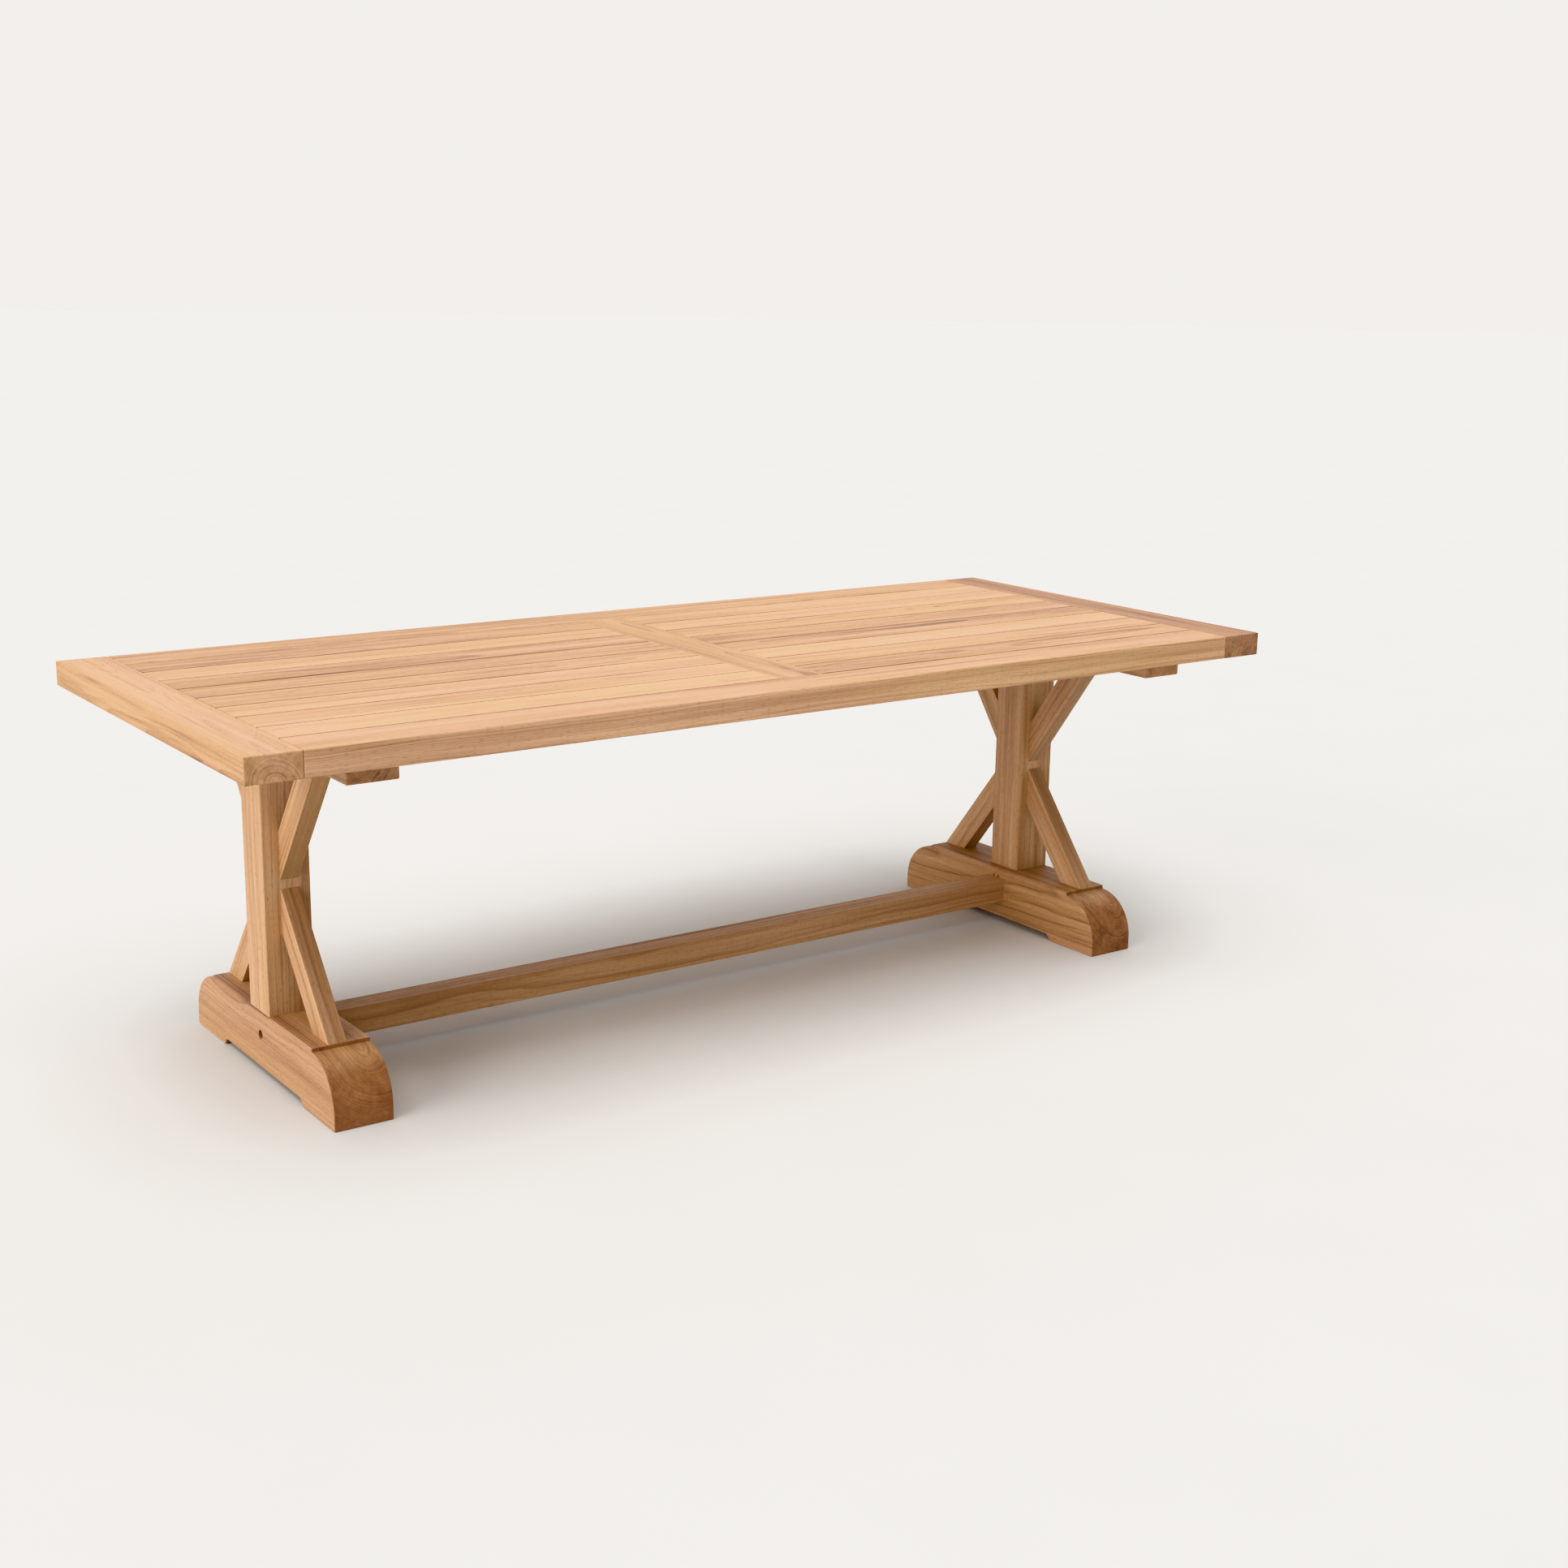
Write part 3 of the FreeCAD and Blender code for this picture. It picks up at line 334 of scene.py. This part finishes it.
# A board has the first of these looks whose name is part of its own. The slats have their own tones.
LOOKS = {
    "pegs": Look(0.8, end_grain_and_shade=0.8),
    "end_board_left": Look(0.2, end_grain_and_shade=0.15),
    "end_board_right": Look(2.1, figure=0.6, end_grain_and_shade=0.15),
    "side_rail_front": Look(0.0),
    "side_rail_back": Look(0.6),
    "cross_board": Look(0.8, figure=0.8),
    "batten": Look(0.6),
    "bearer": Look(0.6),
    "post_left": Look(-0.1, veins=0.7),
    "post_right": Look(0.3, veins=0.8),
    "foot_left": Look(0.8, figure=0.8, veins=0.3, end_grain_and_shade=1.0),
    # The right foot's dark tone is partly painted shade.
    "foot_right": Look(1.4, figure=0.8, end_grain_and_shade=0.9),
    # The braces' long faces that look up and down get painted shade.
    "brace": Look(0.1, veins=0.7, side_painted_shade=0.4),
    "stretcher": Look(0.4),
}
# From the front slat to the back one.
SLAT_TONES = {
    "left": (-1.7, -0.2, -0.2, 0.6, 1.1, 0.7, -0.3, 0.9),
    "right": (0.7, 0.2, -0.7, 1.0, 0.8, 0.6, -0.3, -0.1),
}
# Painted shade on the slats' edges, along the seams between them.
SLAT_PAINTED_SHADE = 0.65
UPRIGHT_PEGS = ("rail_tenon_pegs", "cross_board_pegs")


def look_of(name):
    if name.startswith("slat"):
        _, side, number = name.split("_")
        return Look(SLAT_TONES[side][int(number) - 1], side_painted_shade=SLAT_PAINTED_SHADE)
    return next(look for kind, look in LOOKS.items() if kind in name)


def middle(name):
    low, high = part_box(name)
    return (low + high) / 2


def long_axis(name):
    """The axis that a straight board is longest along, which is the way its grain runs."""
    low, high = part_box(name)
    size = high - low
    longest = max(range(3), key=lambda axis: size[axis])
    return Vector([float(axis == longest) for axis in range(3)])


def brace_grain(name):
    """The slope of a brace, from where it meets the post to its far corner."""
    side = name.split("_")[1]
    low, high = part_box(name)
    post_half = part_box(f"post_{side}")[1].y
    front = middle(name).y < 0
    reach = max(abs(low.y), abs(high.y)) - post_half
    if "upper" in name:
        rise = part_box(f"bearer_{side}")[0].z - low.z
    else:
        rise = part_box(f"foot_{side}")[1].z - high.z
    return Vector((0, -reach if front else reach, rise)).normalized()


def grain_of(name):
    if name.startswith("brace"):
        return brace_grain(name)
    if name in UPRIGHT_PEGS:
        return Vector((0, 0, 1))
    return long_axis(name)


def dress_pieces():
    group = teak_group()
    metals = {
        "stainless_steel": metal("satin_steel", (0.62, 0.62, 0.63), roughness=0.32, scratch=0.5),
        "brass": metal("turned_brass", (0.80, 0.60, 0.30), roughness=0.30, scratch=0.4),
    }
    slots = {part["node"]: part["material_slot"] for part in frame["record"]["subparts"]}
    for name, piece in frame["nodes"].items():
        if slots[name] in metals:
            material = metals[slots[name]]
        else:
            material = wood(name, group, middle(name), grain_of(name), look_of(name))
        for slot in piece.material_slots:
            slot.material = material


# ---------------------------------------------------------------- floor and backdrop

BACKDROP_RADIUS = 60
FLOOR_GREYS = ((0.3, (0.595, 0.60, 0.605)), (0.7, (0.61, 0.615, 0.62)))
FLOOR_ROUGHNESS = 0.85
SCREEN_COLOUR = (1.0, 0.975, 0.945)
SCREEN_STRENGTH = 1.085


def floor_material():
    material, tree = new_material("pale_floor")
    point = node(tree, "TexCoord").outputs["Object"]
    tint = colour_ramp(tree, noise(tree, point, along=3, across=3), FLOOR_GREYS)
    finish_surface(tree, {"Base Color": tint, "Roughness": FLOOR_ROUGHNESS})
    return material


def floor():
    bpy.ops.mesh.primitive_circle_add(vertices=96, radius=BACKDROP_RADIUS, fill_type="NGON")
    ground = bpy.context.object
    ground.name = "floor"
    ground.data.materials.append(floor_material())


def backdrop():
    """A pale screen all round, which the lights shine through: only its own brightness shows."""
    bpy.ops.mesh.primitive_uv_sphere_add(segments=96, ring_count=48, radius=BACKDROP_RADIUS)
    screen = bpy.context.object
    screen.name = "backdrop"
    material, tree = new_material("pale_screen")
    glow = node(tree, "Emission", {"Color": opaque(SCREEN_COLOUR), "Strength": SCREEN_STRENGTH})
    node(tree, "OutputMaterial", {"Surface": glow.outputs[0]})
    screen.data.materials.append(material)
    for kind in ("diffuse", "glossy", "transmission", "volume_scatter", "shadow"):
        setattr(screen, f"visible_{kind}", False)


# ---------------------------------------------------------------- lights

BRIGHT_SIDE = (0.58, 0.81, 0)  # the way to the bright side of the room, behind the table
DIM_COLOUR, BRIGHT_COLOUR = (1.0, 0.89, 0.77), (1.0, 0.995, 0.985)
DIM_STRENGTH, BRIGHT_STRENGTH = 0.27, 1.06


def sunlight(name, towards, strength, spread, colour):
    """Soft light, the same everywhere. strength is what it adds to a white surface that faces it."""
    light = bpy.data.lights.new(name, "SUN")
    light.energy = strength * math.pi
    light.angle = math.radians(spread)
    light.color = colour
    lamp = bpy.data.objects.new(name, light)
    lamp.rotation_euler = Vector(towards).to_track_quat("-Z", "Y").to_euler()
    bpy.context.scene.collection.objects.link(lamp)


def surroundings():
    """A pale room: bright behind the table, and dimmer and warmer in front of it."""
    world = bpy.data.worlds.new("studio")
    world.use_nodes = True
    tree = world.node_tree
    tree.nodes.clear()
    direction = node(tree, "TexCoord").outputs["Generated"]
    facing = compute_vector(tree, "DOT_PRODUCT", direction, BRIGHT_SIDE)
    brightness = smooth_step(tree, facing, low=-0.3, high=0.7)
    tint = colour_ramp(tree, brightness, ((0.0, DIM_COLOUR), (1.0, BRIGHT_COLOUR)))
    strengths = {"Value": brightness, "To Min": DIM_STRENGTH, "To Max": BRIGHT_STRENGTH}
    strength = node(tree, "MapRange", strengths).outputs["Result"]
    walls = node(tree, "Background", {"Color": tint, "Strength": strength})
    node(tree, "OutputWorld", {"Surface": walls.outputs[0]})
    bpy.context.scene.world = world


def lights():
    surroundings()
    sunlight("overhead", (0.16, 0.2, -1.0), strength=1.02, spread=60, colour=(1.0, 0.985, 0.96))
    sunlight("left_side", (1.0, 0.14, -0.25), strength=0.99, spread=50, colour=(1.0, 0.95, 0.88))


# ---------------------------------------------------------------- camera

CAMERA_PLACE = Vector((-2.435, -3.753, 1.554))
CAMERA_YAW, CAMERA_PITCH, CAMERA_ROLL = (math.radians(a) for a in (54.51, -13.76, 0.93))
SENSOR_WIDTH, FOCAL_LENGTH = 36, 48.69  # in millimetres


def camera():
    """The view over the near left corner, from about 0.8 m above the table top."""
    lens = bpy.data.cameras.new("camera")
    lens.sensor_width = SENSOR_WIDTH
    lens.lens = FOCAL_LENGTH
    viewer = bpy.data.objects.new("camera", lens)
    level = math.cos(CAMERA_PITCH)
    ahead = Vector((math.cos(CAMERA_YAW) * level, math.sin(CAMERA_YAW) * level, math.sin(CAMERA_PITCH)))
    right = ahead.cross(Vector((0, 0, 1))).normalized()
    rolled = Matrix.Rotation(-CAMERA_ROLL, 3, ahead) @ right
    turn = Matrix((rolled, rolled.cross(ahead), -ahead)).transposed()
    viewer.matrix_world = Matrix.Translation(CAMERA_PLACE) @ turn.to_4x4()
    bpy.context.scene.collection.objects.link(viewer)
    bpy.context.scene.camera = viewer


camera()
dress_pieces()
floor()
backdrop()
lights()
bpy.context.scene.view_settings.view_transform = "Khronos PBR Neutral"
